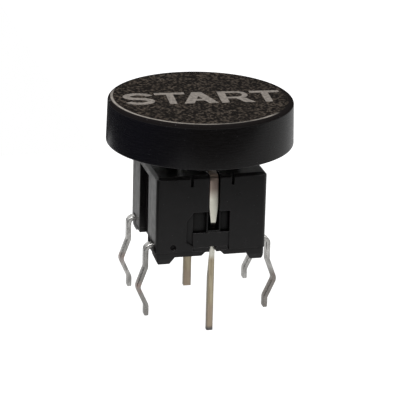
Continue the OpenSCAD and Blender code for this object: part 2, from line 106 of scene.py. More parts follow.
# Mesh clean-up: distances in millimetres and angles in degrees
CAD_MERGE = 0.0004
SWEEP_MERGE = 0.0005
FLAT_ANGLE = 0.6
BEVEL_ANGLE = 32
CAP_SHARP = 35
LEG_SHARP = 50


# Camera
def place_camera():
    """Sets the camera where the photograph's was, in degrees, millimetres and picture points."""
    azimuth, elevation, roll = math.radians(-14.458), math.radians(19.936), math.radians(1.512)
    distance, aim_right, aim_up, picture_focal = 215.583, 0.1696, 4.139, 2392.62
    picture_width, sensor = 400, 36
    side = Vector((math.cos(azimuth), math.sin(azimuth), 0))
    back = Vector((math.sin(azimuth) * math.cos(elevation), -math.cos(azimuth) * math.cos(elevation),
                   math.sin(elevation)))
    up = back.cross(side)
    right = side * math.cos(roll) + up * math.sin(roll)
    above = up * math.cos(roll) - side * math.sin(roll)
    eye = (side * aim_right + Vector((0, 0, aim_up)) + back * distance) * MM
    data = bpy.data.cameras.new("camera")
    data.lens = picture_focal / picture_width * sensor
    data.sensor_width = sensor
    data.clip_start, data.clip_end = 0.001, 10
    camera = linked("camera", data)
    camera.matrix_world = Matrix.Translation(eye) @ Matrix((right, above, back)).transposed().to_4x4()
    scene.camera = camera


# What the tools below take as none and as full: of an edge, by how far its rounded normal still goes
# along the flat one, and of openness, by the share of rays that get away. Each sends out this many rays
FLAT_TO_EDGE = (0.995, 0.86)
SHUT_TO_OPEN = (0.45, 0.95)
SHADER_RAYS = 8


# Small tools for node trees
class Tree:
    """A node tree, with short calls for the nodes that the finishes here share."""

    def __init__(self, node_tree):
        self.nodes, self.links = node_tree.nodes, node_tree.links
        self.nodes.clear()

    def add(self, kind, **settings):
        node = self.nodes.new(kind)
        for key, value in settings.items():
            setattr(node, key, value)
        return node

    def link(self, source, target):
        self.links.new(source, target)

    def feed(self, socket, value):
        """Links a node's output to a socket, or writes a value there. A colour gets its alpha."""
        if isinstance(value, bpy.types.NodeSocket):
            self.link(value, socket)
        elif isinstance(value, tuple):
            socket.default_value = (*value, 1)[:len(socket.default_value)]
        else:
            socket.default_value = value

    def put(self, node, **values):
        """Feeds a node's sockets by their names, with _ for a space."""
        for key, value in values.items():
            self.feed(node.inputs[key.replace("_", " ")], value)
        return node

    def place(self, stretch=None):
        """The point on the piece, with each of its axes stretched where a stretch is given."""
        point = self.add("ShaderNodeTexCoord").outputs["Object"]
        if stretch is None:
            return point
        return self.put(self.add("ShaderNodeMapping"), Vector=point, Scale=stretch).outputs["Vector"]

    def noise(self, size, detail=4, roughness=0.55, stretch=None):
        """Noise whose blotches are about size millimetres across."""
        node = self.add("ShaderNodeTexNoise")
        self.put(node, Vector=self.place(stretch), Scale=1 / (size * MM), Detail=detail, Roughness=roughness)
        return node.outputs["Fac"]

    def ramp(self, source, low, high, from_value=0.0, to_value=1.0):
        """Goes from one value to another as the source goes from low to high, and is level beyond."""
        node = self.add("ShaderNodeMapRange", clamp=True)
        self.put(node, Value=source, From_Min=low, From_Max=high, To_Min=from_value, To_Max=to_value)
        return node.outputs["Result"]

    def between(self, source, low, high, from_value=0.0, to_value=1.0):
        """A ramp whose ends are places in millimetres."""
        return self.ramp(source, low * MM, high * MM, from_value, to_value)

    def choose(self, mask, without, within):
        """One value where the mask is 0 and the other where it is 1."""
        return self.ramp(mask, 0.0, 1.0, without, within)

    def reckon(self, operation, *values):
        """The result of a Math node."""
        node = self.add("ShaderNodeMath", operation=operation)
        for socket, value in zip(node.inputs, values):
            self.feed(socket, value)
        return node.outputs[0]

    def times(self, product, *others):
        """All the given values multiplied."""
        for other in others:
            product = self.reckon("MULTIPLY", product, other)
        return product

    def size_of(self, value):
        """The value without its sign."""
        return self.reckon("ABSOLUTE", value)

    def dot(self, first, second):
        """How far the first goes along the direction of the second."""
        node = self.add("ShaderNodeVectorMath", operation="DOT_PRODUCT")
        self.feed(node.inputs[0], first)
        self.feed(node.inputs[1], second)
        return node.outputs["Value"]

    def part(self, vector, letter):
        """The X, Y or Z of a vector."""
        return self.put(self.add("ShaderNodeSeparateXYZ"), Vector=vector).outputs[letter]

    def axis(self, letter):
        """The X, Y or Z of the point on the piece, in metres."""
        return self.part(self.place(), letter)

    def toward(self, way):
        """How far the point lies along a fixed direction, in metres."""
        return self.dot(self.place(), way)

    def blend(self, amount, first, second):
        """The first colour where the amount is 0 and the second where it is 1."""
        node = self.add("ShaderNodeMix", data_type="RGBA")
        for place, value in ((0, amount), (6, first), (7, second)):
            self.feed(node.inputs[place], value)
        return node.outputs[2]

    def bump(self, height, depth, strength=1.0, below=None):
        """Relief of a depth in millimetres, over other relief where that is given."""
        node = self.put(self.add("ShaderNodeBump"), Height=height, Strength=strength, Distance=depth * MM)
        if below is not None:
            self.put(node, Normal=below)
        return node.outputs["Normal"]

    def rounded(self, radius):
        """Normals that run smoothly over sharp edges, as if these had this radius in millimetres."""
        node = self.put(self.add("ShaderNodeBevel", samples=SHADER_RAYS), Radius=radius * MM)
        return node.outputs["Normal"]

    def edges(self, radius):
        """How near a point lies to an edge: 0 on flat ground, towards 1 on the edge itself."""
        flat = self.add("ShaderNodeNewGeometry").outputs["True Normal"]
        return self.ramp(self.dot(self.rounded(radius), flat), *FLAT_TO_EDGE)

    def openness(self, reach):
        """1 in the open, towards 0 in crevices narrower than the reach in millimetres."""
        node = self.put(self.add("ShaderNodeAmbientOcclusion", samples=SHADER_RAYS), Distance=reach * MM)
        return self.ramp(node.outputs["AO"], *SHUT_TO_OPEN)

    def joined(self, kind, first, second, amount=None):
        """Two shaders in a Mix or Add node."""
        node = self.add(kind)
        if amount is not None:
            self.feed(node.inputs[0], amount)
        self.feed(node.inputs[-2], first)
        self.feed(node.inputs[-1], second)
        return node.outputs[0]


class Finish(Tree):
    """The node tree of one new material."""

    def __init__(self, name):
        self.material = bpy.data.materials.new(name)
        self.material.use_nodes = True
        super().__init__(self.material.node_tree)

    def shown(self, shader):
        self.put(self.add("ShaderNodeOutputMaterial"), Surface=shader)
        return self.material

    def surface(self, colour, roughness, normal, **values):
        shader = self.add("ShaderNodeBsdfPrincipled")
        self.put(shader, Base_Color=colour, Roughness=roughness, Normal=normal, **values)
        return self.shown(shader.outputs["BSDF"])


def paler(colour, factor):
    """The colour made paler, or darker where the factor is under 1."""
    return tuple(c * factor for c in colour)


# Colours of the finishes, as linear red, green and blue
HOUSING_BLACK = (0.0062, 0.0053, 0.0057)
BASE_BLACK = (0.0068, 0.0058, 0.0062)
MOULD_DUST = (0.09, 0.085, 0.085)
DRAWN_STREAK = (0.125, 0.12, 0.117)
# Painted light for the middle band of the side channels' floors
CHANNEL_PAINTED_LIGHT = (0.03, 0.028, 0.027)
# Painted shade for the tongues in the recessed windows
TONGUE_PAINTED_SHADE = (0.0045, 0.0038, 0.0038)
# A painted bluish reflection on the cap's left end
CAP_BLUISH_REFLECTION = (0.0135, 0.013, 0.0185)
CAP_BLACK = (0.0135, 0.012, 0.012)
CAP_STREAK = (0.02, 0.02, 0.0225)
# Painted sheen on the cap's upper rounding
CAP_ROUNDING_SHEEN = (0.026, 0.022, 0.0215)
CAP_DUST = (0.2, 0.2, 0.21)
# Painted reflection streaks at the cap's left end
CAP_LEFT_REFLECTION = (0.24, 0.235, 0.23)
# The painted highlight line on the cap's top edge
CAP_RIM_HIGHLIGHT = (0.66, 0.6, 0.54)
TOP_GROUND = (0.0075, 0.005, 0.0035)
TOP_GRAIN = (0.145, 0.115, 0.09)
TOP_BORDER = (0.009, 0.0085, 0.0085)
LEGEND_LOW = (0.25, 0.215, 0.185)
LEGEND_HIGH = (0.45, 0.395, 0.345)
TIN_PALE = (0.76, 0.75, 0.725)
TIN_GREY = (0.45, 0.44, 0.42)
# Painted shade for the front terminals
TIN_PAINTED_SHADE = (0.27, 0.26, 0.24)
TIN_PINKISH = (0.46, 0.36, 0.32)
TIN_BROWN = (0.27, 0.24, 0.22)
PIN_PALE = (0.64, 0.56, 0.4)
PIN_DARK = (0.45, 0.37, 0.26)
PIN_FOOT = (0.53, 0.42, 0.33)
# Painted shade along the pins' sides
PIN_EDGE_SHADE = (0.25, 0.24, 0.2)
# Painted light on the pin's head where it leaves the base
PIN_HEAD_LIGHT = (0.92, 0.9, 0.8)
PIN_CUT_END = (0.12, 0.13, 0.15)
SLOT_PALE = (0.98, 0.96, 0.84)
SLOT_GREY = (0.86, 0.84, 0.72)
# Painted shade, pinkish, at the lead's top under the cap
LEAD_TOP_SHADE = (0.42, 0.33, 0.28)
LEAD_IN_SHADE = (0.02, 0.018, 0.016)

# Roughness of places that lose their gloss, written as a grey so that it blends as a colour does
DULL_SIDE = (0.7, 0.7, 0.7)
DULL_ROUNDING = (0.6, 0.6, 0.6)

# Stretches of noise: long upright lines and streaks, streaks round the cap, and the cap's grains
DRAWN_LINES = (1.0, 1.0, 0.12)
TERMINAL_LINES = (1.0, 1.0, 0.2)
TERMINAL_MOTTLE = (1.0, 1.0, 0.4)
DRAWN_SIDE = (0.2, 1.0, 0.05)
ROUND_THE_CAP = (0.3, 0.3, 2.0)
REFLECTION_STRETCH = (1.3, 1.3, 0.25)
SPARK_STRETCH = (1.0, 0.78, 1.0)

# Where finishes begin: each pair runs from the place without one to the place where it is full.
# First the housing's, outward, up or towards the front
SIDE_FACE = (4.93, 4.97)
LOWER_SIDE = (2.2, 1.6)
FRONT_HALF = (0.0, -2.0)
CHANNEL_FLOOR = (4.0, 4.2)
CHANNEL_MOUTH = (4.85, 4.7)
CHANNEL_SIDES = (0.9, 0.4)
WINDOW_FOOT = (2.4, 2.6)
WINDOW_HEAD = (5.2, 5.0)
WINDOW_SIDES = (2.0, 1.8)
WINDOW_DEPTH = (3.2, 3.4)

# The terminals': below the base, on the left and the right, at the knee and under the bend
BELOW_BASE = (1.7, 0.8)
LEFT_SIDE = (0.0, -2.0)
RIGHT_LEG = (4.0, 5.0)
KNEE_FROM_BELOW = (-3.1, -2.5)
KNEE_FROM_ABOVE = (-1.5, -2.1)
UNDER_THE_BEND = (-1.2, -2.0)

# The leads': from the front pin to the rear one, the pin's foot, cut end, edges and head, where the
# lead turns in, the slot and the roof
FRONT_TO_REAR = (-1.0, 1.0)
PIN_LOW = (-3.9, -4.5)
PIN_CUT = (PIN_TIP + 0.45, PIN_TIP + 0.2)
PIN_SIDE = (-0.1, -0.03)
HEAD_FROM_BELOW = (0.05, 0.55)
HEAD_FROM_ABOVE = (1.5, 1.3)
TURN_FROM_BELOW = (1.4, 1.6)
TURN_FROM_ABOVE = (3.78, 3.66)
IN_THE_SLOT = (2.0, 3.0)
AT_THE_ROOF = (5.9, 6.9)

# The cap's: its left end with painted reflection streaks, its upper rounding, where its painted bluish
# reflection fades to black, and its right end
REFLECTION_REACH = (7.75, 7.9)
REFLECTION_WIDTH = (2.4, 0.6)
UPPER_EDGE = (CAP_TOP - 0.5, CAP_TOP - 0.4)
LEANING_BACK = (0.15, 0.5)
BLUISH_REFLECTION_FADE = (-6.5, -2.0)
RIGHT_END = (5.0, 8.0)

# The ring of painted highlight on the cap's edge, with its own inner and outer fade, and how pale it is by
# the angle from the front, from the left end to the right
RING_CENTRE = (0.1, 0.36)
RING_R = 7.9
RING_INNER = (RING_R - 0.1, RING_R - 0.03)
RING_OUTER = (RING_R + 0.2, RING_R + 0.1)
RING_HEIGHT = (CAP_TOP - 0.25, CAP_TOP - 0.15)
RING_BORDER = (RING_R - 0.04, RING_R + 0.04)
RIM_STOPS = ((-125, 0.0), (-108, 0.7), (-92, 1.0), (-40, 0.95), (-14, 0.8), (2, 0.5), (18, 0.42),
             (26, 0.75), (37, 1.0), (43, 0.5), (49, 0.0))

# The way that the cap side's left end with painted reflection streaks faces, and the way across it
REFLECTING_END = (-0.968, 0.25, 0.0)
ACROSS_THE_END = (0.25, 0.968, 0.0)


# Finishes
def housing_plastic(name, colour, side_streaks, side_shine):
    """Matte black moulded plastic with fine glass-fibre grain, faint cloudy flow and paler edges that are
    painted highlights.

    Its sides are drawn by side_streaks, from 0 to 1. Where that is 0, the sides lose their gloss, and the
    tongues in the windows lose some shine and are darkened as painted shade in the recess. The middle of each
    side channel's floor is painted lighter, as painted light."""
    tree = Finish(name)
    height, depth = tree.axis("Z"), tree.axis("Y")
    out, aside = tree.size_of(tree.axis("X")), tree.size_of(depth)
    side = tree.between(out, *SIDE_FACE)
    low = tree.times(side, tree.between(height, *LOWER_SIDE), tree.between(depth, *FRONT_HALF))
    # The middle band of each side channel's floor, painted lighter as painted light
    lit_channel_band = tree.times(tree.between(out, *CHANNEL_FLOOR), tree.between(out, *CHANNEL_MOUTH),
                         tree.between(aside, *CHANNEL_SIDES))
    undrawn = 1.0 - side_streaks
    # The tongues in the windows: painted shade in the recess, darker and with less reflection
    shaded_tongue = tree.times(tree.between(height, *WINDOW_FOOT), tree.between(height, *WINDOW_HEAD),
                        tree.between(out, *WINDOW_SIDES), tree.between(aside, *WINDOW_DEPTH), undrawn)

    flow = tree.ramp(tree.noise(1.6, 3), 0.35, 0.75)
    # Paler colour along the edges: painted edge highlights, uneven by noise
    edge_highlight = tree.times(tree.edges(0.09), tree.ramp(tree.noise(0.8, 3), 0.35, 0.6, 0.25, 0.9))
    specks = tree.ramp(tree.noise(0.16, 2), 0.74, 0.77)
    drawn = tree.ramp(tree.noise(0.36, 3, stretch=DRAWN_SIDE), 0.3, 0.68)
    streaks = tree.times(side, drawn, tree.choose(low, side_streaks, 0.0))
    shade = tree.blend(flow, colour, paler(colour, 1.6))
    for amount, tint in ((edge_highlight, paler(colour, 6.5)), (specks, MOULD_DUST), (streaks, DRAWN_STREAK),
                         (lit_channel_band, CHANNEL_PAINTED_LIGHT), (shaded_tongue, TONGUE_PAINTED_SHADE)):
        shade = tree.blend(amount, shade, tint)

    rough = tree.ramp(tree.noise(0.7), 0.3, 0.7, 0.27, 0.4)
    rough = tree.blend(tree.times(side, undrawn), rough, DULL_SIDE)
    rough = tree.blend(low, rough, DULL_SIDE)
    shine = tree.times(tree.choose(tree.openness(0.5), 0.08, 0.4), tree.choose(side, 1.0, side_shine),
                       tree.choose(low, 1.0, 0.05), tree.choose(shaded_tongue, 1.0, 0.72))
    relief = tree.bump(tree.noise(0.1, 3), 0.01, 0.6, tree.rounded(0.09))
    return tree.surface(shade, rough, relief, Specular_IOR_Level=shine)


def ring_distance(tree):
    """Distance from the middle of the painted highlight ring, which lies a little off the cap's axis."""
    flat = tree.put(tree.add("ShaderNodeCombineXYZ"), X=tree.axis("X"), Y=tree.axis("Y"))
    node = tree.add("ShaderNodeVectorMath", operation="DISTANCE")
    tree.feed(node.inputs[0], flat.outputs[0])
    tree.feed(node.inputs[1], (RING_CENTRE[0] * MM, RING_CENTRE[1] * MM, 0.0))
    return node.outputs["Value"]


def rim_highlight(tree):
    """The thin painted highlight line along the cap's top edge, uneven round the cap."""
    distance = ring_distance(tree)
    line = tree.times(tree.between(distance, *RING_INNER), tree.between(distance, *RING_OUTER),
                      tree.between(tree.axis("Z"), *RING_HEIGHT))
    angle = tree.reckon("ARCTAN2", tree.axis("X"), tree.times(tree.axis("Y"), -1.0))
    pale = tree.put(tree.add("ShaderNodeValToRGB"), Fac=tree.ramp(angle, -math.pi, math.pi))
    stops = pale.color_ramp
    stops.interpolation = "EASE"
    places = [(degrees + 180) / 360 for degrees, amount in RIM_STOPS]
    stops.elements[0].position, stops.elements[1].position = places[0], places[-1]
    for place in places[1:-1]:
        stops.elements.new(place)
    for stop, (degrees, amount) in zip(stops.elements, RIM_STOPS):
        stop.color = (amount, amount, amount, 1)
    uneven = tree.ramp(tree.noise(0.8, 3), 0.3, 0.6, 0.65, 1.0)
    return tree.times(line, uneven, pale.outputs["Color"])


def cap_side_plastic():
    """Smooth black side of the cap, with a painted bluish reflection to the left, a painted highlight line on
    its top edge, a painted sheen on its upper rounding, dust and painted reflection streaks at its left end.
    """
    tree = Finish("cap_side_plastic")
    across, height = tree.axis("X"), tree.axis("Z")
    streak = tree.noise(0.35, 3, stretch=ROUND_THE_CAP)
    dust = tree.ramp(tree.noise(0.14, 2), 0.735, 0.77)
    # Pale upright streaks at the left end: painted reflection
    left_reflection = tree.times(tree.between(tree.toward(REFLECTING_END), *REFLECTION_REACH),
                       tree.between(tree.size_of(tree.toward(ACROSS_THE_END)), *REFLECTION_WIDTH),
                       tree.ramp(tree.noise(0.45, 3, 0.6, REFLECTION_STRETCH), 0.52, 0.68))
    lean = tree.part(tree.add("ShaderNodeNewGeometry").outputs["Normal"], "Z")
    # The upper rounding: its lighter colour is a painted sheen in place of its reflection
    rounding = tree.times(tree.ramp(lean, *LEANING_BACK), tree.between(height, *UPPER_EDGE))
    # Painted bluish reflection towards the left end, fading to plain black
    shade = tree.blend(tree.between(across, *BLUISH_REFLECTION_FADE), CAP_BLUISH_REFLECTION, CAP_BLACK)
    # Among the layers below, the pale line on the top edge is a painted highlight
    for amount, tint in ((tree.times(tree.ramp(streak, 0.5, 0.8), 0.3), CAP_STREAK),
                         (tree.times(rounding, 0.8), CAP_ROUNDING_SHEEN), (rim_highlight(tree), CAP_RIM_HIGHLIGHT),
                         (dust, CAP_DUST), (left_reflection, CAP_LEFT_REFLECTION)):
        shade = tree.blend(amount, shade, tint)
    rough = tree.blend(rounding, tree.ramp(streak, 0.35, 0.75, 0.25, 0.31), DULL_ROUNDING)
    shine = tree.times(tree.choose(rounding, 0.24, 0.0), tree.between(across, *RIGHT_END, 1.0, 0.72))
    return tree.surface(shade, rough, tree.bump(tree.noise(0.6, 2), 0.006, 0.3), Specular_IOR_Level=shine)


def spark_grains(tree):
    """The spark-eroded texture that the cap's top and the legend share."""
    return tree.noise(0.28, 3, 0.62, SPARK_STRETCH)


def cap_top_plastic():
    """Spark-textured brown-black top of the cap: pale grains on dark ground."""
    tree = Finish("cap_top_plastic")
    spark = spark_grains(tree)
    grain = tree.times(tree.ramp(spark, 0.47, 0.64), tree.ramp(tree.noise(1.6, 2), 0.25, 0.6, 0.5, 1.0))
    border = tree.between(ring_distance(tree), *RING_BORDER)
    shade = tree.blend(grain, TOP_GROUND, TOP_GRAIN)
    shade = tree.blend(border, shade, TOP_BORDER)
    # The pale line along the rim is a painted highlight
    shade = tree.blend(rim_highlight(tree), shade, CAP_RIM_HIGHLIGHT)
    return tree.surface(shade, 0.8, tree.bump(spark, 0.12), Specular_IOR_Level=0.04)


def legend_plastic():
    """Pale grey legend, where the black coat is taken off and the same texture shows."""
    tree = Finish("legend_plastic")
    spark = spark_grains(tree)
    shade = tree.blend(tree.ramp(spark, 0.38, 0.6), LEGEND_LOW, LEGEND_HIGH)
    return tree.surface(shade, 0.6, tree.bump(spark, 0.05, 0.6), Specular_IOR_Level=0.3)


def bright_metal(name, bright, grey):
    """Smooth bright metal with soft drawing lines."""
    tree = Finish(name)
    shade = tree.blend(tree.ramp(tree.noise(0.5), 0.3, 0.72), bright, grey)
    rough = tree.ramp(tree.noise(0.3), 0.3, 0.7, 0.2, 0.34)
    lines = tree.noise(0.09, 3, stretch=DRAWN_LINES)
    return tree.surface(shade, rough, tree.bump(lines, 0.008, 0.5), Metallic=1.0)


def terminal_tin():
    """Tin plating of the terminals: mottled grey, thin and pinkish on the knees, darker with painted shade on
    the front ones.
    """
    tree = Finish("tinned_brass")
    height, across, depth = tree.axis("Z"), tree.axis("X"), tree.axis("Y")
    mottle = tree.ramp(tree.noise(0.4, 4, 0.6, TERMINAL_MOTTLE), 0.36, 0.62)
    front = tree.times(tree.between(depth, *FRONT_HALF), tree.between(height, *BELOW_BASE))
    # The front terminals, the left one most, darkened as painted shade
    front_shade = tree.times(front, tree.between(across, *LEFT_SIDE, 0.0, 0.6))
    knee = tree.times(tree.between(height, *KNEE_FROM_BELOW), tree.between(height, *KNEE_FROM_ABOVE))
    rub = tree.times(knee, tree.ramp(tree.noise(0.45, 3), 0.42, 0.6, 0.15, 0.9))
    brown = tree.times(tree.between(across, *RIGHT_LEG), front, tree.between(height, *UNDER_THE_BEND), 0.75)
    shade = tree.blend(mottle, TIN_PALE, TIN_GREY)
    for amount, tint in ((front_shade, TIN_PAINTED_SHADE), (rub, TIN_PINKISH), (brown, TIN_BROWN)):
        shade = tree.blend(amount, shade, tint)
    rough = tree.ramp(tree.noise(0.3), 0.3, 0.7, 0.18, 0.34)
    lines = tree.noise(0.16, 3, stretch=TERMINAL_LINES)
    return tree.surface(shade, rough, tree.bump(lines, 0.012, 0.6), Metallic=1.0)


def lead_tin():
    """Tinned lamp lead: pale in the slot, with painted shade where it turns in behind the bar and under the
    cap at its top, warmer in the pins, with painted shade on their sides and painted light on the head.
    """
    tree = Finish("tinned_steel")
    height = tree.axis("Z")
    drawn = tree.ramp(tree.noise(0.22, 3, stretch=DRAWN_LINES), 0.36, 0.64)
    half_width = tree.between(tree.axis("Y"), *FRONT_TO_REAR, FRONT_PIN_HALF * MM, REAR_PIN_HALF * MM)
    from_middle = tree.size_of(tree.reckon("ADD", tree.axis("X"), -LEAD_X * MM))
    at_edge = tree.between(tree.reckon("SUBTRACT", from_middle, half_width), *PIN_SIDE)
    pin = tree.blend(drawn, PIN_PALE, PIN_DARK)
    pin = tree.blend(tree.between(height, *PIN_LOW, 0.0, 0.7), pin, PIN_FOOT)
    # Painted shade along the pin's sides
    pin = tree.blend(tree.times(at_edge, 0.6), pin, PIN_EDGE_SHADE)
    in_slot = tree.blend(tree.ramp(tree.noise(0.5), 0.3, 0.72), SLOT_PALE, SLOT_GREY)
    shade = tree.blend(tree.between(height, *IN_THE_SLOT), pin, in_slot)
    # The head where the pin leaves the base gets painted light
    head = tree.times(tree.between(height, *HEAD_FROM_BELOW), tree.between(height, *HEAD_FROM_ABOVE))
    cut_end = tree.times(tree.between(height, *PIN_CUT), 0.8)
    turned_in = tree.times(tree.between(height, *TURN_FROM_BELOW), tree.between(height, *TURN_FROM_ABOVE))
    # Painted shade under the cap at the top and in the turn behind the bar; painted light on the head
    for amount, tint in ((tree.between(height, *AT_THE_ROOF), LEAD_TOP_SHADE), (head, PIN_HEAD_LIGHT),
                         (cut_end, PIN_CUT_END), (turned_in, LEAD_IN_SHADE)):
        shade = tree.blend(amount, shade, tint)
    rough = tree.ramp(tree.noise(0.3), 0.3, 0.7, 0.28, 0.4)
    lines = tree.noise(0.09, 3, stretch=DRAWN_LINES)
    return tree.surface(shade, rough, tree.bump(lines, 0.008, 0.5), Metallic=1.0)


def plain(name, colour, roughness=0.4, **values):
    """A quiet finish for the pieces inside, with a faint cloud and a faint grain."""
    tree = Finish(name)
    cloud = tree.ramp(tree.noise(0.8, 3), 0.3, 0.7)
    shade = tree.blend(cloud, colour, paler(colour, 0.88))
    return tree.surface(shade, roughness, tree.bump(tree.noise(0.2), 0.004, 0.3), **values)


TIN = terminal_tin()
PIN_TIN = lead_tin()
CAP_SIDE = cap_side_plastic()
CAP_TOP_FINISH = cap_top_plastic()
LEGEND_FINISH = legend_plastic()
HOUSING = housing_plastic("housing_plastic", HOUSING_BLACK, side_streaks=1.0, side_shine=1.1)
BASE = housing_plastic("base_plastic", BASE_BLACK, side_streaks=0.0, side_shine=0.04)
MILKY = plain("milky_plastic", (0.85, 0.85, 0.8))
SLIDING = plain("plunger_plastic", (0.03, 0.03, 0.032), 0.45)
SPRING = bright_metal("spring_steel", (0.62, 0.62, 0.63), (0.55, 0.55, 0.56))
node_finish = {
    "keycap": CAP_SIDE, "light_plate": MILKY, "plunger": SLIDING, "cover": HOUSING, "base": BASE,
    "front_contact": TIN, "rear_contact": TIN, "anode_lead": PIN_TIN, "cathode_lead": PIN_TIN,
    "snap_dome": SPRING,
    "lamp_lens": plain("clear_resin", (0.95, 0.97, 0.98), 0.05, Transmission_Weight=1.0, IOR=1.5),
    "light_chip": plain("chip_crystal", (0.8, 0.74, 0.45)),
    "bond_wire": bright_metal("gold_wire", (0.85, 0.66, 0.25), (0.75, 0.57, 0.2)),
}
for node, material in node_finish.items():
    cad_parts[node].data.materials.clear()
    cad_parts[node].data.materials.append(material)


# Tools that make objects and meshes
def linked(name, data):
    """A new object in the scene."""
    made = bpy.data.objects.new(name, data)
    scene.collection.objects.link(made)
    return made


def piece(name, mesh, materials, body, replaced=()):
    """A finished piece that rides on a body and the nodes that it stands for."""
    made = linked(name, mesh)
    mesh.materials.clear()
    for material in materials:
        mesh.materials.append(material)
    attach(made, body)
    if replaced:
        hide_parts(*replaced)
    return made


def written(work, mesh):
    """Writes a bmesh into a mesh and frees it."""
    work.to_mesh(mesh)
    work.free()
    return mesh


def baked(thing, name):
    """The evaluated mesh of an object with modifiers. The object itself is removed."""
    graph = bpy.context.evaluated_depsgraph_get()
    mesh = bpy.data.meshes.new_from_object(thing.evaluated_get(graph), depsgraph=graph)
    mesh.name = name
    bpy.data.objects.remove(thing)
    return mesh


def softened(node, width, carve=None):
    """A copy of a CAD node with its loose triangles merged and, if a width is given, its edges rounded."""
    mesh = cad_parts[node].data.copy()
    work = bmesh.new()
    work.from_mesh(mesh)
    bmesh.ops.remove_doubles(work, verts=work.verts, dist=CAD_MERGE * MM)
    bmesh.ops.dissolve_limit(work, angle_limit=math.radians(FLAT_ANGLE), verts=work.verts, edges=work.edges)
    if carve is not None:
        carve(work)
    for face in work.faces:
        face.smooth = width > 0
    written(work, mesh)
    if width == 0:
        return mesh
    made = linked(node + "_soft", mesh)
    bevel = made.modifiers.new("edges", "BEVEL")
    bevel.width = width * MM
    bevel.segments = 2
    bevel.limit_method = "ANGLE"
    bevel.angle_limit = math.radians(BEVEL_ANGLE)
    bevel.use_clamp_overlap = True
    bevel.harden_normals = True
    return baked(made, node + "_soft")


def arc(centre, radius, start, end, steps):
    """Points on an arc, from one angle to another in degrees."""
    angles = [math.radians(start + (end - start) * i / steps) for i in range(steps + 1)]
    return [(centre[0] + radius * math.cos(a), centre[1] + radius * math.sin(a)) for a in angles]


def turned(name, profile):
    """A closed solid of revolution from (radius, height) points that start and end on the axis."""
    work = bmesh.new()
    rings = []
    for radius, height in profile:
        if radius == 0:
            rings.append([work.verts.new((0, 0, height * MM))])
            continue
        angles = [2 * math.pi * i / CAP_FACETS for i in range(CAP_FACETS)]
        rings.append([work.verts.new((radius * MM * math.cos(a), radius * MM * math.sin(a), height * MM))
                      for a in angles])
    for lower, upper in zip(rings, rings[1:]):
        for i in range(CAP_FACETS):
            j = (i + 1) % CAP_FACETS
            corners = dict.fromkeys([lower[i % len(lower)], lower[j % len(lower)],
                                     upper[j % len(upper)], upper[i % len(upper)]])
            if len(corners) > 2:
                work.faces.new(list(corners))
    bmesh.ops.recalc_face_normals(work, faces=work.faces)
    for face in work.faces:
        face.smooth = True
    mesh = written(work, bpy.data.meshes.new(name))
    mesh.set_sharp_from_angle(angle=math.radians(CAP_SHARP))
    return mesh


def plate(name, loops, low, high):
    """A flat closed plate between two heights. Later loops are holes in the first, or islands apart."""
    work = bmesh.new()
    top, bottom = [], []
    for loop in loops:
        top.append([work.verts.new((x * MM, y * MM, high * MM)) for x, y in loop])
        bottom.append([work.verts.new((x * MM, y * MM, low * MM)) for x, y in loop])
    every_top = [v for loop in top for v in loop]
    every_bottom = [v for loop in bottom for v in loop]
    flat = [[Vector((x, y, 0)) for x, y in loop] for loop in loops]
    for a, b, c in tessellate_polygon(flat):
        if len({a, b, c}) == 3:
            work.faces.new((every_top[a], every_top[b], every_top[c]))
            work.faces.new((every_bottom[c], every_bottom[b], every_bottom[a]))
    for upper, lower in zip(top, bottom):
        for i in range(len(upper)):
            j = (i + 1) % len(upper)
            work.faces.new((upper[i], upper[j], lower[j], lower[i]))
    bmesh.ops.recalc_face_normals(work, faces=work.faces)
    return written(work, bpy.data.meshes.new(name))


def merged(name, meshes):
    """One mesh of several, side by side."""
    work = bmesh.new()
    for mesh in meshes:
        work.from_mesh(mesh)
    return written(work, bpy.data.meshes.new(name))


# Legend: plain wide bold capitals, drawn on the cap's top. Each letter gives its outlines and its
# counters, in millimetres from its lower left corner
LETTER_H = 3.3
STROKE = 0.66
BAR = 0.6
LEGEND_TURN = -5.0
LEGEND_RAISE = 0.05


def letter_t(w):
    h, left, right = LETTER_H, (w - STROKE) / 2, (w + STROKE) / 2
    return [[(0, h), (0, h - BAR), (left, h - BAR), (left, 0), (right, 0), (right, h - BAR), (w, h - BAR),
             (w, h)]], []


def letter_a(w):
    h = LETTER_H
    top, foot, bar_low, bar_high, blunt = 0.88, 0.88, 0.76, 1.3, 0.05
    lean = (w - top) / 2 / h
    low, high = foot + lean * bar_low, foot + lean * bar_high
    outer = [(0, 0), (foot, 0), (low, bar_low), (w - low, bar_low), (w - foot, 0), (w, 0),
             ((w + top) / 2, h), ((w - top) / 2, h)]
    peak = (w / 2 - foot) / lean
    hole = [(high, bar_high), (w - high, bar_high), (w / 2 + blunt, peak), (w / 2 - blunt, peak)]
    return [outer], [hole]


def letter_r(w):
    h, stem, waist, inset, inner_bar = LETTER_H, STROKE * 1.06, 1.2, 0.38, BAR * 0.85
    ring = (h - waist) / 2
    belly = (w - inset - ring, waist + ring)
    leg_inner, leg_outer, leg_w = belly[0] - 0.15, belly[0] + 0.72, 0.95
    outer = [(0, 0), (stem, 0), (stem, waist), (leg_inner, waist), (w - leg_w, 0), (w, 0),
             (leg_outer, waist + 0.12), *arc(belly, ring, -62, 90, 12), (0, h)]
    hole = [(stem, waist + inner_bar), *arc(belly, ring - inner_bar, -90, 90, 10), (stem, h - inner_bar)]
    return [outer], [hole]


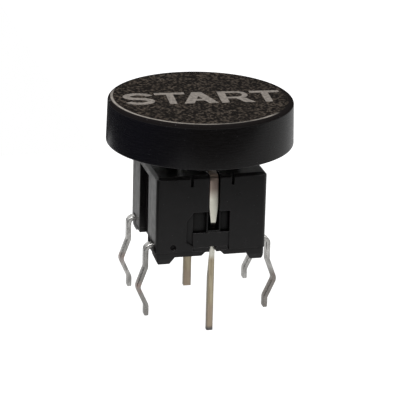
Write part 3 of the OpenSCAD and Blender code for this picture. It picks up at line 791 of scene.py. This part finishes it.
def letter_s(w):
    h, t, drop = LETTER_H + 0.1, STROKE, 0.05
    wide, tall = (w - t) / 2, (h - t) / 4
    line = []
    for middle, angles in ((h - t / 2 - tall, range(8, 273, 8)), (t / 2 + tall, range(82, -171, -8))):
        line += [(w / 2 + wide * math.cos(math.radians(a)), middle + tall * math.sin(math.radians(a)))
                 for a in angles]
    left, right = [], []
    for i, (x, y) in enumerate(line):
        before, after = line[max(i - 1, 0)], line[min(i + 1, len(line) - 1)]
        dx, dy = after[0] - before[0], after[1] - before[1]
        size = math.hypot(dx, dy)
        left.append((x - dy / size * t / 2, y - drop + dx / size * t / 2))
        right.append((x + dy / size * t / 2, y - drop - dx / size * t / 2))
    return [left + right[::-1]], []


# The word's letters, each with its width and where its left side stands from the cap's axis
LETTERS = [(letter_s, 2.72, -6.9), (letter_t, 2.74, -4.02), (letter_a, 3.09, -1.69), (letter_r, 3.05, 1.66),
           (letter_t, 2.7, 4.57)]


def legend_loops():
    """Outlines and counters of the word, set on the cap's top."""
    turn = math.radians(LEGEND_TURN)
    outlines, counters = [], []
    for draw, width, left in LETTERS:
        for target, found in zip((outlines, counters), draw(width)):
            for loop in found:
                placed = []
                for x, y in loop:
                    x, y = x + left, y - LETTER_H / 2 + LEGEND_RAISE
                    placed.append((x * math.cos(turn) - y * math.sin(turn),
                                   x * math.sin(turn) + y * math.cos(turn)))
                target.append(placed)
    return outlines, counters


# Cap
def make_cap():
    """The turned shell, the textured coat set into its top, and the legend in the coat's openings."""
    inner = CAP_R - CAP_WALL
    low_r = CAP_R + CAP_DRAFT - CAP_FACET_SAG
    shelf = CAP_TOP - CAP_TOP_T
    flat_r = CAP_R - EDGE_REACH
    film_r = flat_r - TOP_BAND
    film_low = CAP_TOP - FILM_T
    profile = [(0, shelf), (inner, shelf)]
    profile += arc((inner + CAP_LIP_R, CAP_BOTTOM + CAP_LIP_R), CAP_LIP_R, 180, 270, 4)
    profile += arc((low_r - CAP_LIP_R, CAP_BOTTOM + CAP_LIP_R), CAP_LIP_R, -90, 0, 4)
    profile += [(flat_r + (x - flat_r) * EDGE_REACH / CAP_EDGE_R, z)
                for x, z in arc((flat_r, CAP_TOP - CAP_EDGE_R), CAP_EDGE_R, 0, 90, 14)]
    profile += [(film_r, CAP_TOP), (film_r, film_low), (0, film_low)]
    piece("cap_shell", turned("cap_shell", profile), [CAP_SIDE], "button", ["keycap"])

    outlines, counters = legend_loops()
    rim = arc((0, 0), film_r - FILM_GAP, 0, 360, CAP_FACETS)[:-1]
    coats = [plate("coat", [rim, *outlines], film_low, CAP_TOP)]
    coats += [plate("counter", [loop], film_low, CAP_TOP) for loop in counters]
    piece("cap_top_coat", merged("cap_top_coat", coats), [CAP_TOP_FINISH], "button")

    letters = []
    for outline in outlines:
        left, right = min(x for x, y in outline), max(x for x, y in outline)
        inside = [counter for counter in counters if left < counter[0][0] < right]
        letters.append(plate("letter", [outline, *inside], film_low, CAP_TOP - FILM_T * LEGEND_SUNK))
    piece("cap_legend", merged("cap_legend", letters), [LEGEND_FINISH], "button")


# Kinked terminals, swept along their path and set out in rows by geometry nodes
def leg_line():
    """Centre line of one terminal with rounded corners, as (outward, up) points, and its fullness at each."""
    tip_x = LEG_CORNERS[-1][0]
    corners = [(LEG_START_X, SEAT_Z - SHEET_T / 2), *[c[:2] for c in LEG_CORNERS], (tip_x, LEG_TIP_Z)]
    line = [corners[0]]
    for i, (x, z, radius) in enumerate(LEG_CORNERS, 1):
        here = Vector((x, z))
        back, ahead = Vector(corners[i - 1]) - here, Vector(corners[i + 1]) - here
        back.normalize()
        ahead.normalize()
        half = back.angle(ahead) / 2
        reach = radius / math.tan(half)
        centre = here + (back + ahead).normalized() * (radius / math.sin(half))
        first, last = here + back * reach - centre, here + ahead * reach - centre
        sweep = first.angle_signed(last)
        for k in range(CORNER_STEPS + 1):
            turn = Matrix.Rotation(-sweep * k / CORNER_STEPS, 2)
            line.append(tuple(centre + turn @ first))
    line.append((tip_x, LEG_TIP_Z + LEG_TIP_START))
    full = [1.0] * len(line)
    for rise, fullness in LEG_TIP:
        line.append((tip_x, LEG_TIP_Z + rise))
        full.append(fullness)
    return line, full


def terminal_tree():
    """Sweeps a sheet with rounded edges along a line and sets it at the left and the right."""
    group = bpy.data.node_groups.new("kinked_terminals", "GeometryNodeTree")
    for name, kind in (("Geometry", "Geometry"), ("Sheet Width", "Float"), ("Sheet Thickness", "Float"),
                       ("Edge Radius", "Float"), ("Row Place", "Float"), ("Material", "Material")):
        group.interface.new_socket(name, in_out="INPUT", socket_type="NodeSocket" + kind)
    group.interface.new_socket("Geometry", in_out="OUTPUT", socket_type="NodeSocketGeometry")
    tree = Tree(group)

    def step(kind, result, settings=None, **values):
        return tree.put(tree.add(kind, **(settings or {})), **values).outputs[result]

    given = tree.add("NodeGroupInput").outputs
    line = step("GeometryNodeMeshToCurve", "Curve", Mesh=given["Geometry"])
    line = step("GeometryNodeSetCurveNormal", "Curve", {"mode": "Z_UP"}, Curve=line)
    fullness = step("GeometryNodeInputNamedAttribute", "Attribute", {"data_type": "FLOAT"}, Name="fullness")
    section = step("GeometryNodeCurvePrimitiveQuadrilateral", "Curve", Width=given["Sheet Thickness"],
                   Height=given["Sheet Width"])
    section = step("GeometryNodeFilletCurve", "Curve", {"mode": "POLY"}, Curve=section, Count=4,
                   Radius=given["Edge Radius"])
    leg = step("GeometryNodeCurveToMesh", "Mesh", Curve=line, Profile_Curve=section, Scale=fullness,
               Fill_Caps=True)
    leg = step("GeometryNodeTransform", "Geometry", Geometry=leg, Rotation=(math.pi / 2, 0.0, 0.0))
    place = step("ShaderNodeCombineXYZ", "Vector", Y=given["Row Place"])
    row = step("GeometryNodeMeshLine", "Mesh", {"mode": "OFFSET"}, Count=2, Start_Location=place,
               Offset=(0.0, 0.0, 0.0))
    half_turns = tree.times(tree.add("GeometryNodeInputIndex").outputs[0], math.pi)
    spin = step("ShaderNodeCombineXYZ", "Vector", Z=half_turns)
    legs = step("GeometryNodeInstanceOnPoints", "Instances", Points=row, Instance=leg, Rotation=spin)
    legs = step("GeometryNodeRealizeInstances", "Geometry", Geometry=legs)
    legs = step("GeometryNodeSetMaterial", "Geometry", Geometry=legs, Material=given["Material"])
    tree.put(tree.add("NodeGroupOutput"), Geometry=legs)
    return group


def swept_legs(group, row_place):
    """The two terminals of one contact, left and right, as a closed mesh."""
    line, full = leg_line()
    mesh = bpy.data.meshes.new("leg_line")
    mesh.from_pydata([(x * MM, z * MM, 0) for x, z in line], [(i, i + 1) for i in range(len(line) - 1)], [])
    values = mesh.attributes.new("fullness", "FLOAT", "POINT")
    for item, value in zip(values.data, full):
        item.value = value
    made = linked("legs", mesh)
    modifier = made.modifiers.new("sweep", "NODES")
    modifier.node_group = group
    given = {"Sheet Width": LEG_W * MM, "Sheet Thickness": SHEET_T * MM, "Edge Radius": LEG_EDGE_R * MM,
             "Row Place": row_place * MM, "Material": TIN}
    for socket in group.interface.items_tree:
        if socket.item_type == "SOCKET" and socket.in_out == "INPUT" and socket.name in given:
            modifier[socket.identifier] = given[socket.name]
    legs = baked(made, "legs")
    work = bmesh.new()
    work.from_mesh(legs)
    bmesh.ops.remove_doubles(work, verts=work.verts, dist=SWEEP_MERGE * MM)
    bmesh.ops.recalc_face_normals(work, faces=work.faces)
    for face in work.faces:
        face.smooth = True
    written(work, legs)
    legs.set_sharp_from_angle(angle=math.radians(LEG_SHARP))
    return legs


def bisected(work, **plane):
    """Cuts a whole bmesh by a plane."""
    parts = [*work.verts, *work.edges, *work.faces]
    return bmesh.ops.bisect_plane(work, geom=parts, **plane)["geom_cut"]


def cut_to_strip(work):
    """Takes a contact's own terminals off, left and right, and closes the ends."""
    for side in (-1, 1):
        end = (side * STRIP_CUT_X * MM, 0, 0)
        cut = bisected(work, plane_co=end, plane_no=(side, 0, 0), clear_outer=True)
        bmesh.ops.holes_fill(work, edges=[e for e in cut if isinstance(e, bmesh.types.BMEdge)])
    bmesh.ops.recalc_face_normals(work, faces=work.faces)


def make_contacts():
    """Both contacts: the strip of the solid inside the base, with newly swept terminals."""
    group = terminal_tree()
    for node, row_place in (("front_contact", -LEG_Y), ("rear_contact", LEG_Y)):
        name = node + "_dressed"
        mesh = merged(name, [swept_legs(group, row_place), softened(node, STRIP_EDGE_R, cut_to_strip)])
        piece(name, mesh, [TIN], "switch_body", [node])


def narrow_neck(work):
    """Narrows the front pin where it leaves the base, on its left side only."""
    for height in PIN_NECK:
        bisected(work, plane_co=(0, 0, height * MM), plane_no=(0, 0, 1))
    low, full, high = min(PIN_NECK) * MM, max(PIN_NECK) * MM, PIN_NECK_TOP * MM
    left = min(v.co.x for v in work.verts if v.co.z < low)
    for v in work.verts:
        if low < v.co.z < high and v.co.x < left + PIN_SIDE_ZONE * MM:
            v.co.x += PIN_NECK_CUT * MM * min(1, (v.co.z - low) / (full - low))


def open_channels(mesh):
    """Lets the side channels run down through the base's rim."""
    work = bmesh.new()
    for side in (-1, 1):
        middle = Matrix.Translation((side * (CHANNEL_X + CHANNEL_CUT[0] / 2) * MM, 0, 0))
        size = Matrix.Diagonal((*[length * MM for length in CHANNEL_CUT], 1))
        bmesh.ops.create_cube(work, size=1, matrix=middle @ size)
    cuts = linked("channel_cuts", written(work, bpy.data.meshes.new("channel_cuts")))
    made = linked("base_whole", mesh)
    cut = made.modifiers.new("channels", "BOOLEAN")
    cut.operation = "DIFFERENCE"
    cut.solver = "EXACT"
    cut.object = cuts
    opened = baked(made, "base_channelled")
    bpy.data.objects.remove(cuts)
    return opened


# The pieces that are copies of their solids: the width of their rounded edges, finish, body and slot
COPIED = (
    ("cover", 0, HOUSING, "switch_body", "housing_plastic"),
    ("base", 0, BASE, "switch_body", "base_plastic"),
    ("plunger", 0.04, SLIDING, "button", "plunger_plastic"),
    ("light_plate", 0.06, MILKY, "button", "milky_plastic"),
    ("anode_lead", 0.05, PIN_TIN, "switch_body", "tinned_steel"),
    ("cathode_lead", 0.05, PIN_TIN, "switch_body", "tinned_steel"),
    ("snap_dome", 0, SPRING, "switch_body", "spring_steel"),
)


def make_copied():
    """The pieces that keep their solids' shape. The dome's piece gets a mesh of its own."""
    for node, width, material, body, slot in COPIED:
        mesh = softened(node, width, narrow_neck if node == "anode_lead" else None)
        if node == "base":
            mesh = open_channels(mesh)
        dressed = piece(node + "_dressed", mesh, [material], body, [node])
        if node == "snap_dome":
            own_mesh(dressed)


# Floor, background and lights. The white paper ends a little way in front and to the left of the
# switch, so those sides of the cap mirror the dim room and not the paper. The room runs from dim to
# bright towards its bright side, and fades out just below the horizon
FLOOR_Z = PIN_TIP - 0.01
PAPER_FRONT = 42
PAPER_LEFT = 27
PAPER_REAR_LEFT = 46
PAPER_FAR = 3000
PAPER_WHITE = (0.8, 0.8, 0.8)
SEEN_GLOW = 0.8
MIRRORED_GLOW = 0.18
BRIGHT_SIDE = (0.45, 0.87, 0.2)
ROOM_DIM = 0.05
ROOM_BRIGHT = 0.82
HORIZON = (-0.1, 0.02)
BELOW_HORIZON = 0.06


def make_floor():
    """White paper that keeps the shadow, with a glow of its own for the camera and in reflections."""
    outline = ((-PAPER_LEFT, -PAPER_FRONT), (PAPER_FAR, -PAPER_FRONT), (PAPER_FAR, PAPER_FAR), (0, PAPER_FAR),
               (0, PAPER_REAR_LEFT), (-PAPER_LEFT, PAPER_REAR_LEFT))
    mesh = bpy.data.meshes.new("floor")
    mesh.from_pydata([(x * MM, y * MM, FLOOR_Z * MM) for x, y in outline], [], [range(len(outline))])
    tree = Finish("floor_paper")
    path = tree.add("ShaderNodeLightPath").outputs
    strength = tree.reckon("ADD", tree.times(path["Is Camera Ray"], SEEN_GLOW),
                           tree.times(path["Is Glossy Ray"], MIRRORED_GLOW))
    paper = tree.put(tree.add("ShaderNodeBsdfDiffuse"), Color=PAPER_WHITE)
    glow = tree.put(tree.add("ShaderNodeEmission"), Color=(1.0, 1.0, 1.0), Strength=strength)
    mesh.materials.append(tree.shown(tree.joined("ShaderNodeAddShader", paper.outputs[0], glow.outputs[0])))
    linked("floor", mesh)


def make_world():
    """A room that is bright behind and overhead and dimmer in front. The camera sees plain white."""
    world = bpy.data.worlds.new("studio")
    scene.world = world
    world.use_nodes = True
    tree = Tree(world.node_tree)
    way = tree.add("ShaderNodeTexCoord").outputs["Generated"]
    path = tree.add("ShaderNodeLightPath").outputs
    strength = tree.times(tree.ramp(tree.dot(way, BRIGHT_SIDE), -1.0, 1.0, ROOM_DIM, ROOM_BRIGHT),
                          tree.ramp(tree.part(way, "Z"), *HORIZON, BELOW_HORIZON, 1.0))
    room, white = tree.add("ShaderNodeBackground"), tree.add("ShaderNodeBackground")
    tree.put(room, Color=(1.0, 1.0, 1.0), Strength=strength)
    tree.put(white, Color=(1.0, 1.0, 1.0), Strength=1.0)
    plain_white = tree.reckon("MAXIMUM", path["Is Camera Ray"], path["Is Transmission Ray"])
    seen = tree.joined("ShaderNodeMixShader", room.outputs[0], white.outputs[0], plain_white)
    tree.put(tree.add("ShaderNodeOutputWorld"), Surface=seen)


def lamp(name, place, aim, size, strength, diffuse=True):
    """A rectangular lamp whose strength is its brightness, whatever its size."""
    data = bpy.data.lights.new(name, "AREA")
    data.shape = "RECTANGLE"
    data.size, data.size_y = size[0] * MM, size[1] * MM
    data.energy = strength * math.pi * data.size * data.size_y
    light = linked(name, data)
    light.visible_diffuse = diffuse
    place, aim = Vector(place) * MM, Vector(aim) * MM
    turn = (place - aim).to_track_quat("Z", "Y").to_matrix().to_4x4()
    light.matrix_world = Matrix.Translation(place) @ turn


place_camera()
make_cap()
make_contacts()
make_copied()
make_floor()
make_world()
lamp("key", place=(-110, -70, 150), aim=(0, 0, 5), size=(90, 90), strength=2.4)
lamp("rim_strip", place=(-20, -110, 150), aim=(0, 0, 12), size=(300, 80), strength=6, diffuse=False)
